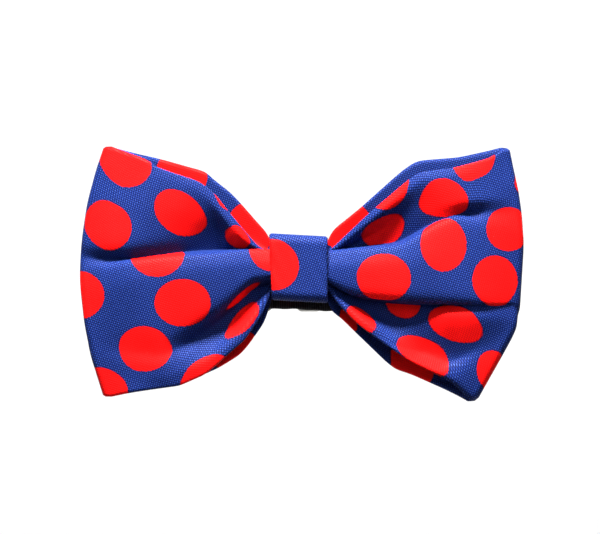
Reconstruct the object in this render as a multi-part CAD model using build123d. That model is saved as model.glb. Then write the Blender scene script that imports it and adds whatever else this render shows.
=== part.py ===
"""A ready-tied bow tie: a pinched cloth bow on a ribbon neck strap with a hook, an eye and a slide.

The frame is the worn tie. +Z is up, the bow faces -Y, and the neck stands inside the strap. The
origin is on the strap's neck side, straight behind the middle of the knot. All sizes are in mm.
"""

import os

from build123d import *

# --- Driving dimensions ---------------------------------------------------------------------------

# Knot: a strip of cloth wrapped round the waist of the bow and closed at the back.
KNOT_WIDTH = 15.9
KNOT_HEIGHT = 18.1
KNOT_FRONT_Y = -15.0
KNOT_BACK_Y = -1.5
KNOT_CORNER = 2.5
WRAP_T = 1.0
LINING_T = 0.6
LINING_GAP = 0.1
LINING_WIDTH = 14.0
KNOT_SEAM_GAP = 0.2

# Bow: one strip of cloth folded into a loop, so each wing is a front and a back panel.
WAIST_HALF_HEIGHT = 6.9
NECKED_HALF_WIDTH = 3.0
NECKED_HALF_HEIGHT = 6.2
WAIST_FRONT_Y = -12.2
WAIST_BACK_Y = -4.2
SLEEVE_X = 8.2
SLEEVE_FRONT_Y = -12.8
SLEEVE_BACK_Y = -3.7
BELLY_X = 32.0
BELLY_FRONT_Y = -15.6
BELLY_BACK_Y = -2.7
FOLD_Y = -7.4
FOLD_HALF_DEPTH = 2.2
LEFT_END_X = -59.0
RIGHT_END_X = 60.8
FOLD_REACH = 2.3
SILHOUETTE_DEPTH = 40.0
LOOP_END_GAP = 0.4

# Interlining: a stiffening strip between the two layers of the bow's cloth.
SKIN_T = 0.55
STIFFENER_T = 0.5
STIFFENER_CLEARANCE = 0.1
HEM = 1.0

# Thread.
THREAD_R = 0.3
THREAD_STANDOFF = 0.4
THREAD_TURNS = 5
THREAD_PITCH = 0.65
STITCH_R = 0.18

# Strap: a flat ribbon. Its middle line runs round the neck.
STRAP_T = 1.0
STRAP_WIDTH = 16.0
STRAP_Z = -3.4
FRONT_HALF_LENGTH = 20.0
FRONT_RADIUS = 36.0
BACK_RADIUS = 22.0
BACK_Y = 105.0
ARM_GAP = 1.0
LAYER_GAP = 0.15

# Wire fittings: the hook's ring and the eye lie in one plane, outside the ribbon.
WIRE_R = 0.8
BIGHT_R = 1.38
RING_CORNER = 1.2
RAIL_GAP = 0.4
HOOK_BAR_X = -14.0
HOOK_RING_LENGTH = 6.0
EYE_BAR_X = 6.5
EYE_LENGTH = 6.5
TONGUE_WIDTH = 8.0
TONGUE_T = 1.0
TONGUE_CLEARANCE = 0.3
TONGUE_END_X = 2.8
TIP_T = 1.2
TIP_Y = 104.6
HOOK_LIFT = 30.0
HOOK_FOLD_LENGTH = 15.0

# Slide: two bars inside the ribbon and one outside it, between two cheeks.
SLIDE_Y = 54.0
SLIDE_BAR_R = 0.7
SLIDE_BAR_SPACING = 4.5
SLIDE_BIGHT_R = 1.3
CHEEK_T = 1.2
CHEEK_R = 1.2
TAIL_LOOP_TOP = 60.0
TAIL_END_Y = 66.5

# --- Worked-out sizes -----------------------------------------------------------------------------

STRAP_Y = -STRAP_T / 2
SIDE_X = FRONT_HALF_LENGTH + FRONT_RADIUS
HINGE_Y = STRAP_Y + FRONT_RADIUS + ARM_GAP / 2
RING_Y = BACK_Y + BIGHT_R
RAIL_OFFSET = STRAP_WIDTH / 2 + RAIL_GAP + WIRE_R
TAIL_OFFSET = STRAP_T + LAYER_GAP
KNOT_MID_Y = (KNOT_FRONT_Y + KNOT_BACK_Y) / 2
KNOT_DEPTH = KNOT_BACK_Y - KNOT_FRONT_Y


# --- Bow ------------------------------------------------------------------------------------------


def left_wing_outline():
    """The left wing as seen from the front: flared from the knot, with a bowed outer fold."""
    return [
        Polyline((-SLEEVE_X, WAIST_HALF_HEIGHT), (-8.6, 8.8), (-15.9, 16.3), (-24.0, 24.6)),
        ThreePointArc((-24.0, 24.6), (-31.0, 27.8), (-39.0, 29.8)),
        Line((-39.0, 29.8), (-52.7, 32.4)),
        ThreePointArc((-52.7, 32.4), (LEFT_END_X, 1.0), (-52.4, -34.6)),
        Line((-52.4, -34.6), (-32.2, -31.6)),
        ThreePointArc((-32.2, -31.6), (-20.0, -25.6), (-12.4, -17.6)),
        Polyline((-12.4, -17.6), (-8.8, -8.7), (-SLEEVE_X, -WAIST_HALF_HEIGHT)),
    ]


def right_wing_outline():
    """The right wing as seen from the front: squarer at the top, cut back at the lower corner."""
    return [
        Polyline((SLEEVE_X, -WAIST_HALF_HEIGHT), (9.2, -9.2), (25.0, -26.2), (48.5, -35.9)),
        Polyline((48.5, -35.9), (50.0, -35.2), (59.4, -15.0)),
        ThreePointArc((59.4, -15.0), (RIGHT_END_X, 8.0), (57.6, 32.2)),
        Polyline((57.6, 32.2), (32.0, 28.6), (18.1, 16.3), (8.6, 8.6)),
        Line((8.6, 8.6), (SLEEVE_X, WAIST_HALF_HEIGHT)),
    ]


def waist_outline(side):
    """The gathered waist above (side 1) or below (side -1) the middle of the knot, left to right."""
    full = side * WAIST_HALF_HEIGHT
    necked = side * NECKED_HALF_HEIGHT
    return Polyline(
        (-SLEEVE_X, full),
        (-NECKED_HALF_WIDTH - 1, full),
        (-NECKED_HALF_WIDTH, necked),
        (NECKED_HALF_WIDTH, necked),
        (NECKED_HALF_WIDTH + 1, full),
        (SLEEVE_X, full),
    )


def silhouette(inset):
    """The bow's front outline, inset all round, as a block that runs right through its depth."""
    edges = [*left_wing_outline(), *right_wing_outline(), waist_outline(1), waist_outline(-1)]
    face = make_face(edges)
    if inset:
        face = offset(face, amount=-inset, kind=Kind.INTERSECTION)
    return extrude(Plane.XZ * face, amount=SILHOUETTE_DEPTH, both=True)


def plan_outline():
    """The folded loop seen from above: two shallow lenses joined at the waist."""
    edges = []
    for side, end_x in ((-1, LEFT_END_X), (1, RIGHT_END_X)):
        fold_x = end_x - side * FOLD_REACH
        sleeve_x = side * SLEEVE_X
        belly_x = side * BELLY_X
        front = FOLD_Y - FOLD_HALF_DEPTH
        back = FOLD_Y + FOLD_HALF_DEPTH
        edges += [
            ThreePointArc((sleeve_x, SLEEVE_FRONT_Y), (belly_x, BELLY_FRONT_Y), (fold_x, front)),
            ThreePointArc((fold_x, front), (end_x, FOLD_Y), (fold_x, back)),
            ThreePointArc((fold_x, back), (belly_x, BELLY_BACK_Y), (sleeve_x, SLEEVE_BACK_Y)),
        ]
    for sleeve_y, waist_y in ((SLEEVE_FRONT_Y, WAIST_FRONT_Y), (SLEEVE_BACK_Y, WAIST_BACK_Y)):
        edges.append(
            Polyline(
                (-SLEEVE_X, sleeve_y),
                (-NECKED_HALF_WIDTH, waist_y),
                (NECKED_HALF_WIDTH, waist_y),
                (SLEEVE_X, sleeve_y),
            )
        )
    return make_face(edges)


def plan_hollow():
    """The open space inside both loops, seen from above, with the slit that joins them."""
    slit_y = (WAIST_FRONT_Y + WAIST_BACK_Y) / 2
    mouth_x = 12.0
    hollow = Pos(0, slit_y) * Rectangle(2 * mouth_x + 1.5, 0.3)
    for side, end_x in ((-1, LEFT_END_X), (1, RIGHT_END_X)):
        mouth = (side * mouth_x, slit_y)
        end = (end_x - side * 3.4, FOLD_Y)
        middle_x = side * (BELLY_X + 2)
        lens = make_face(
            [
                ThreePointArc(mouth, (middle_x, BELLY_FRONT_Y + 2.3), end),
                ThreePointArc(end, (middle_x, BELLY_BACK_Y - 1.8), mouth),
            ]
        )
        hollow += lens
    return hollow


def plan_strip(outer_inset, inner_inset):
    """A strip that follows the loop between two depths under its outer face, seen from above."""
    plan = plan_outline()
    return offset(plan, amount=-outer_inset) - offset(plan, amount=-inner_inset)


def tall(face):
    """A plan face raised through the full height of the bow."""
    return extrude(face, amount=SILHOUETTE_DEPTH, both=True)


def loop_end_slot(width):
    """The gap between the two ends of the folded strip, at the middle of the back."""
    depth = WAIST_BACK_Y - WAIST_FRONT_Y
    y = (WAIST_BACK_Y + WAIST_FRONT_Y) / 2 + depth / 2
    return Pos(0, y, 0) * Box(width, depth, 2 * SILHOUETTE_DEPTH)


def bow_shell():
    """The printed cloth: a hollow strip folded into two loops, open along its top and bottom."""
    loop = tall(plan_outline() - plan_hollow()) & silhouette(0)
    pocket_t = STIFFENER_T + 2 * STIFFENER_CLEARANCE
    pocket = tall(plan_strip(SKIN_T, SKIN_T + pocket_t)) & silhouette(HEM)
    return loop - pocket - loop_end_slot(LOOP_END_GAP)


def bow_interlining():
    """The stiffening strip, free in the pocket between the two layers of cloth."""
    near = SKIN_T + STIFFENER_CLEARANCE
    strip = tall(plan_strip(near, near + STIFFENER_T)) & silhouette(HEM + STIFFENER_CLEARANCE)
    return strip - loop_end_slot(2 * LOOP_END_GAP)


def waist_thread():
    """The thread wound round the gathered waist, one closed turn beside the next."""
    depth = WAIST_BACK_Y - WAIST_FRONT_Y + 2 * THREAD_STANDOFF
    height = 2 * (NECKED_HALF_HEIGHT + THREAD_STANDOFF)
    middle_y = (WAIST_BACK_Y + WAIST_FRONT_Y) / 2
    turns = []
    for i in range(THREAD_TURNS):
        x = (i - (THREAD_TURNS - 1) / 2) * THREAD_PITCH
        plane = Plane(origin=(x, middle_y, 0), x_dir=(0, 1, 0), z_dir=(1, 0, 0))
        path = plane * RectangleRounded(depth, height, THREAD_STANDOFF * 0.99).wire()
        start = path @ 0
        section = Plane(origin=start, z_dir=path % 0) * Circle(THREAD_R)
        turns.append(sweep(section, path=path))
    return Compound(children=turns)


# --- Knot -----------------------------------------------------------------------------------------


def knot_ring(outer_inset, thickness, width):
    """A rounded rectangular band round the waist, cut open along the middle of its back."""
    plane = Plane(origin=(0, KNOT_MID_Y, 0), x_dir=(0, 1, 0), z_dir=(1, 0, 0))
    outer = RectangleRounded(
        KNOT_DEPTH - 2 * outer_inset, KNOT_HEIGHT - 2 * outer_inset, KNOT_CORNER - outer_inset
    )
    inner_inset = outer_inset + thickness
    inner = RectangleRounded(
        KNOT_DEPTH - 2 * inner_inset,
        KNOT_HEIGHT - 2 * inner_inset,
        KNOT_CORNER - inner_inset,
    )
    band = extrude(plane * (outer - inner), amount=width / 2, both=True)
    seam = Pos(0, KNOT_BACK_Y, 0) * Box(2 * width, 2 * inner_inset + 0.5, KNOT_SEAM_GAP)
    return band - seam


def knot_wrap():
    return knot_ring(0, WRAP_T, KNOT_WIDTH)


def knot_lining():
    return knot_ring(WRAP_T + LINING_GAP, LINING_T, LINING_WIDTH)


def knot_stitches():
    """Slanted hand stitches that draw the two ends of the wrap together."""
    length, pitch, slant = 2.0, 1.8, 25
    stitches = []
    for i in range(7):
        x = (i - 3) * pitch
        bar = Rot(0, slant, 0) * Cylinder(STITCH_R, length)
        stitches.append(Pos(x, KNOT_BACK_Y, 0) * bar)
    return Compound(children=stitches)


def knot_tack():
    """Two rows of machine stitches that hold the strap to the back of the wrap."""
    length, pitch, column_x, lowest_z = 1.5, 2.3, 6.9, -5.8
    near_y, far_y = -STRAP_T * 0.05, KNOT_BACK_Y - WRAP_T * 0.8
    stitches = []
    for x in (-column_x, column_x):
        for i in range(5):
            bar = Box(0.4, near_y - far_y, length)
            stitches.append(Pos(x, (near_y + far_y) / 2, lowest_z + i * pitch) * bar)
    return Compound(children=stitches)


# --- Strap ----------------------------------------------------------------------------------------


def ribbon(points, radii):
    """A flat ribbon standing on edge along a path of straight runs joined by tangent arcs."""
    path = FilletPolyline(*[(x, y, STRAP_Z) for x, y in points], radius=radii)
    section = Plane(origin=path @ 0, x_dir=(0, 0, 1), z_dir=path % 0)
    return sweep(section * Rectangle(STRAP_WIDTH, STRAP_T), path=path)


def strap_front():
    """The stretch that is sewn to the knot, curving back round both sides of the neck."""
    end_y = STRAP_Y + FRONT_RADIUS
    points = [(-SIDE_X, end_y), (-SIDE_X, STRAP_Y), (SIDE_X, STRAP_Y), (SIDE_X, end_y)]
    return ribbon(points, FRONT_RADIUS - 0.01)


def strap_left():
    """The left arm of the strap, with its end folded round the hook's bar."""
    folded_y = BACK_Y + TAIL_OFFSET
    tip_x = HOOK_BAR_X + BIGHT_R
    points = [
        (-SIDE_X, HINGE_Y + ARM_GAP / 2),
        (-SIDE_X, BACK_Y),
        (tip_x, BACK_Y),
        (tip_x, BACK_Y + 2 * BIGHT_R),
        (HOOK_BAR_X - 2.0, BACK_Y + 2 * BIGHT_R),
        (HOOK_BAR_X - 5.5, folded_y),
        (HOOK_BAR_X - HOOK_FOLD_LENGTH, folded_y),
    ]
    return ribbon(points, [BACK_RADIUS, BIGHT_R - 0.01, BIGHT_R - 0.01, 2.5, 2.5])


def strap_right():
    """The right arm of the strap, as far as its turn round the eye's bar and a little past it."""
    tip_x = EYE_BAR_X - BIGHT_R
    folded_y = BACK_Y + TAIL_OFFSET
    points = [
        (SIDE_X, HINGE_Y + ARM_GAP / 2),
        (SIDE_X, BACK_Y),
        (tip_x, BACK_Y),
        (tip_x, BACK_Y + 2 * BIGHT_R),
        (EYE_BAR_X + 2.0, BACK_Y + 2 * BIGHT_R),
        (EYE_BAR_X + 5.5, folded_y),
        (EYE_BAR_X + 8.0, folded_y),
    ]
    return ribbon(points, [BACK_RADIUS, BIGHT_R - 0.01, BIGHT_R - 0.01, 2.5, 2.5])


def strap_tail():
    """The doubled end of the strap, from the eye back round the neck to the slide."""
    outer_x = SIDE_X + TAIL_OFFSET
    outer_y = BACK_Y + TAIL_OFFSET
    points = [
        (EYE_BAR_X + 8.1, outer_y),
        (outer_x, outer_y),
        (outer_x, TAIL_LOOP_TOP + 0.1),
    ]
    return ribbon(points, BACK_RADIUS + TAIL_OFFSET)


def tail_loop():
    """The sewn end of the strap, wrapped round the slide's outer bar."""
    near_x = SIDE_X + TAIL_OFFSET
    far_x = near_x + 2 * SLIDE_BIGHT_R
    end_x = near_x + TAIL_OFFSET
    turn_y = SLIDE_Y - SLIDE_BIGHT_R
    points = [
        (near_x, TAIL_LOOP_TOP),
        (near_x, turn_y),
        (far_x, turn_y),
        (far_x, SLIDE_Y + 2.0),
        (end_x, SLIDE_Y + 5.0),
        (end_x, TAIL_END_Y),
    ]
    return ribbon(points, [SLIDE_BIGHT_R - 0.01, SLIDE_BIGHT_R - 0.01, 2.0, 2.0])


def strap_stitches(columns, place):
    """Columns of short stitches up the ribbon. place(position, z) puts one bar in a column."""
    pitch, count = 1.8, 7
    stitches = []
    for position in columns:
        for i in range(count):
            z = STRAP_Z + (i - (count - 1) / 2) * pitch
            stitches.append(place(position, z))
    return Compound(children=stitches)


def hook_tack():
    """Stitches through the folded end that holds the hook."""
    middle_y = BACK_Y + TAIL_OFFSET / 2 + 0.1
    columns = (HOOK_BAR_X - 8.5, HOOK_BAR_X - 12.5)
    return strap_stitches(columns, lambda x, z: Pos(x, middle_y, z) * Box(0.4, 1.7, 1.2))


def slide_tack():
    """Stitches through the end of the tail, above the slide."""
    face_x = SIDE_X + 2 * TAIL_OFFSET + 0.1
    columns = (SLIDE_Y + 8.0, SLIDE_Y + 11.0)
    return strap_stitches(columns, lambda y, z: Pos(face_x, y, z) * Box(1.0, 0.4, 1.2))


# --- Fittings -------------------------------------------------------------------------------------


def wire_ring(left_x, length):
    """A rectangular ring of round wire in the plane of the fittings."""
    plane = Plane(
        origin=(left_x + length / 2, RING_Y, STRAP_Z), x_dir=(1, 0, 0), z_dir=(0, -1, 0)
    )
    path = plane * RectangleRounded(length, 2 * RAIL_OFFSET, RING_CORNER).wire()
    section = Plane(origin=path @ 0, z_dir=path % 0) * Circle(WIRE_R)
    return sweep(section, path=path)


def hook():
    """A wire ring with a flat tongue, curled at its end, lifted clear of the eye at rest."""
    ring_x = HOOK_BAR_X + HOOK_RING_LENGTH
    inner_y = RING_Y + WIRE_R + TONGUE_CLEARANCE
    outer_y = inner_y + TONGUE_T
    profile = make_face(
        Polyline(
            (ring_x - 0.5, RING_Y),
            (ring_x - 0.5, outer_y),
            (TONGUE_END_X, outer_y),
            (TONGUE_END_X, TIP_Y),
            (TONGUE_END_X - TIP_T, TIP_Y),
            (TONGUE_END_X - TIP_T, inner_y),
            (ring_x + 0.6, inner_y),
            (ring_x + 0.6, RING_Y),
            close=True,
        )
    )
    rounded = fillet(profile.vertices().group_by(Axis.X)[-1].sort_by(Axis.Y)[-1:], 0.9)
    rounded = fillet(rounded.vertices().group_by(Axis.Y)[0], 0.5)
    tongue = extrude(Pos(0, 0, STRAP_Z) * rounded, amount=TONGUE_WIDTH / 2, both=True)
    engaged = wire_ring(HOOK_BAR_X, HOOK_RING_LENGTH) + tongue
    return engaged.rotate(Axis((HOOK_BAR_X, RING_Y, 0), (0, 0, 1)), HOOK_LIFT)


def eye():
    return wire_ring(EYE_BAR_X - EYE_LENGTH, EYE_LENGTH)


def slide():
    """Three bars between two rounded cheeks. The ribbon runs between the bars."""
    inner_x = SIDE_X - STRAP_T / 2 - LAYER_GAP - SLIDE_BAR_R
    outer_x = SIDE_X + TAIL_OFFSET + SLIDE_BIGHT_R
    centres = [
        (inner_x, SLIDE_Y - SLIDE_BAR_SPACING),
        (inner_x, SLIDE_Y + SLIDE_BAR_SPACING),
        (outer_x, SLIDE_Y),
    ]
    circles = [Pos(x, y) * Circle(CHEEK_R) for x, y in centres]
    outline = make_hull([edge for circle in circles for edge in circle.edges()])
    cheek_z = STRAP_WIDTH / 2 + RAIL_GAP
    body = Part()
    for side in (-1, 1):
        base = STRAP_Z + side * (cheek_z + CHEEK_T / 2)
        body += extrude(Pos(0, 0, base) * outline, amount=CHEEK_T / 2, both=True)
    for x, y in centres:
        body += Pos(x, y, STRAP_Z) * Cylinder(SLIDE_BAR_R, 2 * cheek_z + CHEEK_T)
    return body


# --- Writing --------------------------------------------------------------------------------------

NODES = [
    bow_shell,
    bow_interlining,
    waist_thread,
    knot_wrap,
    knot_lining,
    knot_stitches,
    knot_tack,
    strap_front,
    strap_left,
    strap_right,
    strap_tail,
    tail_loop,
    hook_tack,
    slide_tack,
    hook,
    eye,
    slide,
]

os.makedirs("parts", exist_ok=True)
for node in NODES:
    export_step(node(), f"parts/{node.__name__}.step")
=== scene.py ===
"""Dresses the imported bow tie: printed cloth, folds, knot, ribbon, stitches, metal, light and camera.

Shapes are given in millimetres in the frame's own axes: x to the right, y away from the viewer
and z up, with the knot in the middle. They become metres when a mesh is made.
"""

import math

import bmesh
import bpy
import numpy as np
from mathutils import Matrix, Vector


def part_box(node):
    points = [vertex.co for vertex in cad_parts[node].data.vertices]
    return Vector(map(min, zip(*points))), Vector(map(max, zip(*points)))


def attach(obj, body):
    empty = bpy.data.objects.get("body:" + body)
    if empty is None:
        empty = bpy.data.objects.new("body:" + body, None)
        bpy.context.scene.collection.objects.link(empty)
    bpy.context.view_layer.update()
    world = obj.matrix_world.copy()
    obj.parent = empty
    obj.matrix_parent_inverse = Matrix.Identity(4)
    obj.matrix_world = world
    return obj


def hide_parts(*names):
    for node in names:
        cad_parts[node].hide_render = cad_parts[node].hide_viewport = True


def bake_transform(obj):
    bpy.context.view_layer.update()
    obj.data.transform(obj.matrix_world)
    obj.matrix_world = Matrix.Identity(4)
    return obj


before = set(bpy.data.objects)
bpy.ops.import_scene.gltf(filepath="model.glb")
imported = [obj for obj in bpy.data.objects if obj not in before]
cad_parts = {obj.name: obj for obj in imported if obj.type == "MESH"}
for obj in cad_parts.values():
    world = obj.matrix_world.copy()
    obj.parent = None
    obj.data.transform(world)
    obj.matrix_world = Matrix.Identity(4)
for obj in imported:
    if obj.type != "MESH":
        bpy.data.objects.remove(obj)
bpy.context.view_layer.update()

MM = 0.001

# --- Sizes that the whole scene shares, in mm ------------------------------------------------------

CLOTH_HALF_T = 0.5
EDGE_ROUND = 0.8
FOLD_REACH = 1.9
STATIONS = 84
SAMPLES_PER_GAP = 11
FOLD_ROWS = 9
SMOOTHING = 10
FRONT_LINES = 12
UPPER_CREASE, MIDDLE_RIDGE, LOWER_CREASE = 4, 6, 8
SAMPLES = (FRONT_LINES - 1) * SAMPLES_PER_GAP + 1
WEAVE_PITCH = 0.58
WEAVE_TURN = math.radians(18)
RIB_PITCH = 0.62
CORD_PITCH = 0.30


# --- Small helpers ---------------------------------------------------------------------------------


def corners(node):
    """A CAD node's lowest and highest corners, in mm."""
    low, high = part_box(node)
    return np.array(low) / MM, np.array(high) / MM


def new_mesh(name, points, faces, material, smooth=True):
    """An object from points in mm."""
    mesh = bpy.data.meshes.new(name)
    mesh.from_pydata([tuple(p) for p in np.asarray(points) * MM], [], faces)
    mesh.validate()
    mesh.polygons.foreach_set("use_smooth", [smooth] * len(mesh.polygons))
    mesh.materials.append(material)
    piece = bpy.data.objects.new(name, mesh)
    bpy.context.scene.collection.objects.link(piece)
    return piece


def set_point_values(piece, name, values):
    """A number on every point, for a material to read."""
    layer = piece.data.attributes.new(name, "FLOAT", "POINT")
    layer.data.foreach_set("value", np.asarray(values, dtype=np.float32))


def set_cloth_map(piece, flat):
    """Flat cloth coordinates in mm, one pair to a point, as a UV map."""
    layer = piece.data.uv_layers.new(name="cloth")
    corner_points = np.zeros(len(piece.data.loops), dtype=np.int32)
    piece.data.loops.foreach_get("vertex_index", corner_points)
    layer.data.foreach_set("uv", np.asarray(flat, dtype=np.float32)[corner_points].ravel())


def smooth_rows(grid, times, axis):
    """Softens a grid of points along one axis and keeps its two end rows."""
    grid = np.moveaxis(grid.copy(), axis, 0)
    for _ in range(times):
        grid[1:-1] = (grid[:-2] + 2 * grid[1:-1] + grid[2:]) / 4
    return np.moveaxis(grid, 0, axis)


def grid_normals(grid):
    """Unit normals of a grid of points, by differences along its two directions."""
    along = np.gradient(grid, axis=0)
    across = np.gradient(grid, axis=1)
    normals = np.cross(along, across)
    lengths = np.linalg.norm(normals, axis=2, keepdims=True)
    return normals / np.maximum(lengths, 1e-9)


# --- Materials -------------------------------------------------------------------------------------


class Nodes:
    """A short way to write a material's node tree."""

    def __init__(self, name):
        self.material = bpy.data.materials.new(name)
        self.material.use_nodes = True
        self.tree = self.material.node_tree
        self.shader = self.tree.nodes["Principled BSDF"]

    def put(self, target, value):
        if isinstance(value, bpy.types.NodeSocket):
            self.tree.links.new(value, target)
        elif value is not None:
            target.default_value = value

    def math(self, operation, a, b=None, c=None):
        node = self.tree.nodes.new("ShaderNodeMath")
        node.operation = operation
        for socket, value in zip(node.inputs, (a, b, c)):
            self.put(socket, value)
        return node.outputs[0]

    def mix(self, factor, a, b):
        node = self.tree.nodes.new("ShaderNodeMix")
        node.data_type = "RGBA"
        self.put(node.inputs[0], factor)
        self.put(node.inputs[6], a)
        self.put(node.inputs[7], b)
        return node.outputs[2]

    def spread(self, value, low, high, to_low=0.0, to_high=1.0):
        node = self.tree.nodes.new("ShaderNodeMapRange")
        node.interpolation_type = "SMOOTHSTEP"
        for socket, number in zip(node.inputs, (value, low, high, to_low, to_high)):
            self.put(socket, number)
        return node.outputs[0]

    def value_of(self, attribute):
        node = self.tree.nodes.new("ShaderNodeAttribute")
        node.attribute_name = attribute
        return node.outputs["Fac"]

    def cloth_xy(self):
        node = self.tree.nodes.new("ShaderNodeUVMap")
        node.uv_map = "cloth"
        split = self.tree.nodes.new("ShaderNodeSeparateXYZ")
        self.tree.links.new(node.outputs[0], split.inputs[0])
        return split.outputs[0], split.outputs[1]

    def place(self):
        return self.tree.nodes.new("ShaderNodeTexCoord").outputs["Object"]

    def noise(self, vector, scale, detail=2.0):
        node = self.tree.nodes.new("ShaderNodeTexNoise")
        self.tree.links.new(vector, node.inputs["Vector"])
        node.inputs["Scale"].default_value = scale
        node.inputs["Detail"].default_value = detail
        return node.outputs[0]

    def bump(self, height, strength, distance):
        node = self.tree.nodes.new("ShaderNodeBump")
        node.inputs["Strength"].default_value = strength
        node.inputs["Distance"].default_value = distance
        self.tree.links.new(height, node.inputs["Height"])
        self.tree.links.new(node.outputs[0], self.shader.inputs["Normal"])

    def set(self, **values):
        for name, value in values.items():
            self.put(self.shader.inputs[name.replace("_", " ")], value)


def plain_weave(n, pitch):
    """Over-and-under threads: how high each place is, and 1 where the warp is on top."""
    flat_x, flat_y = n.cloth_xy()
    run, rise = math.cos(WEAVE_TURN) / pitch, math.sin(WEAVE_TURN) / pitch
    x = n.math("MULTIPLY_ADD", flat_x, run, n.math("MULTIPLY", flat_y, -rise))
    y = n.math("MULTIPLY_ADD", flat_y, run, n.math("MULTIPLY", flat_x, rise))
    cell = n.math("ADD", n.math("FLOOR", x), n.math("FLOOR", y))
    warp_on_top = n.math("FLOORED_MODULO", cell, 2.0)
    across_x = n.math("SINE", n.math("MULTIPLY", n.math("FRACT", x), math.pi))
    across_y = n.math("SINE", n.math("MULTIPLY", n.math("FRACT", y), math.pi))
    warp = n.math("MULTIPLY", across_x, n.math("POWER", across_y, 0.5))
    weft = n.math("MULTIPLY", across_y, n.math("POWER", across_x, 0.5))
    warp_part = n.math("MULTIPLY", warp, warp_on_top)
    weft_part = n.math("MULTIPLY", weft, n.math("SUBTRACT", 1.0, warp_on_top))
    return n.math("ADD", warp_part, weft_part), warp_on_top


BLUE = (0.0084, 0.0305, 0.203, 1)
BLUE_SHADE_AND_INK_RIM = (0.002, 0.006, 0.050, 1)
BLUE_HIGHLIGHT = (0.085, 0.175, 0.520, 1)
RED = (0.900, 0.003, 0.003, 1)
RED_THREAD_SHADE = (0.620, 0.001, 0.001, 1)
RED_RIM = (0.300, 0.001, 0.001, 1)
RIBBON_DARK = (0.0065, 0.0065, 0.0070, 1)
RIBBON_WORN = (0.0130, 0.0130, 0.0140, 1)
RIBBON_LIT = (0.0260, 0.0260, 0.0280, 1)
METAL_DULL = (0.38, 0.37, 0.35, 1)
METAL_BRIGHT = (0.45, 0.44, 0.42, 1)


def printed_cloth():
    """Royal blue plain weave with large red dots printed on it, with painted shade in the hollows of the
    weave and painted highlights on the warp tops.
    """
    n = Nodes("printed_cloth")
    height, warp_on_top = plain_weave(n, WEAVE_PITCH)
    cloud = n.noise(n.place(), 90.0)
    # The low parts of the threads are darker: painted shade in the hollows of the weave.
    thread = n.spread(height, 0.25, 0.95)
    ground = n.mix(thread, BLUE_SHADE_AND_INK_RIM, BLUE)
    # Light specks on the tops of the warp threads: a painted highlight.
    highlight = n.math("MULTIPLY", n.spread(height, 0.72, 1.0), warp_on_top)
    ground = n.mix(n.math("MULTIPLY", highlight, 0.32), ground, BLUE_HIGHLIGHT)
    # The dots' red is darker on the low parts of the threads too: painted shade.
    dot = n.mix(n.spread(height, 0.0, 0.6), RED_THREAD_SHADE, RED)
    ragged = n.math("MULTIPLY_ADD", n.math("SUBTRACT", height, 0.5), 0.22, n.value_of("print_edge"))
    # A thin darker ring round each dot is printed ink, in the same dark blue.
    ground = n.mix(n.spread(ragged, 0.05, 0.45, 1.0, 0.0), ground, BLUE_SHADE_AND_INK_RIM)
    dot = n.mix(n.spread(ragged, -0.30, 0.0, 0.0, 0.75), dot, RED_RIM)
    inside = n.spread(ragged, -0.03, 0.03, 1.0, 0.0)
    colour = n.mix(inside, ground, dot)
    shade = n.mix(n.spread(cloud, 0.35, 0.65), (0.90, 0.90, 0.92, 1), (1.0, 1.0, 1.0, 1))
    blend = n.tree.nodes.new("ShaderNodeMix")
    blend.data_type = "RGBA"
    blend.blend_type = "MULTIPLY"
    blend.inputs[0].default_value = 1.0
    n.tree.links.new(colour, blend.inputs[6])
    n.tree.links.new(shade, blend.inputs[7])
    n.set(
        Base_Color=blend.outputs[2],
        Roughness=n.spread(height, 0.0, 1.0, 0.72, 0.52),
        Specular_IOR_Level=0.08,
        Sheen_Weight=0.01,
        Sheen_Roughness=0.45,
    )
    n.bump(height, 0.55, 0.00012)
    return n.material


def ribbon_cloth():
    """Black ribbed ribbon with a smooth woven edge."""
    n = Nodes("black_ribbon")
    x, y = n.cloth_xy()
    rib = n.math("SINE", n.math("MULTIPLY", x, 2 * math.pi / RIB_PITCH))
    cord = n.math("SINE", n.math("MULTIPLY", y, 2 * math.pi / CORD_PITCH))
    height = n.math("MULTIPLY_ADD", cord, 0.30, n.math("MULTIPLY", rib, 0.7))
    height = n.math("MULTIPLY_ADD", height, 0.5, 0.5)
    cloud = n.noise(n.place(), 220.0)
    dark = n.mix(n.spread(cloud, 0.3, 0.7), RIBBON_DARK, RIBBON_WORN)
    colour = n.mix(n.spread(height, 0.3, 1.0), dark, RIBBON_LIT)
    n.set(
        Base_Color=colour,
        Roughness=n.spread(height, 0.0, 1.0, 0.75, 0.5),
        Specular_IOR_Level=0.10,
        Sheen_Weight=0.01,
        Sheen_Roughness=0.4,
    )
    n.bump(height, 0.6, 0.00015)
    return n.material


def thread(name, dark, light):
    """Twisted sewing thread."""
    n = Nodes(name)
    wave = n.tree.nodes.new("ShaderNodeTexWave")
    wave.bands_direction = "DIAGONAL"
    wave.inputs["Scale"].default_value = 900.0
    n.tree.links.new(n.place(), wave.inputs["Vector"])
    colour = n.mix(wave.outputs["Fac"], dark, light)
    n.set(Base_Color=colour, Roughness=0.6, Sheen_Weight=0.2)
    n.bump(wave.outputs["Fac"], 0.5, 0.00006)
    return n.material


def stiffener():
    """Unbleached felt, seen only inside the bow and the knot."""
    n = Nodes("interlining")
    fibres = n.noise(n.place(), 1400.0, 6.0)
    colour = n.mix(n.spread(fibres, 0.3, 0.7), (0.30, 0.28, 0.24, 1), (0.44, 0.42, 0.37, 1))
    n.set(Base_Color=colour, Roughness=0.95, Sheen_Weight=0.2)
    n.bump(fibres, 0.4, 0.0001)
    return n.material


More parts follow.
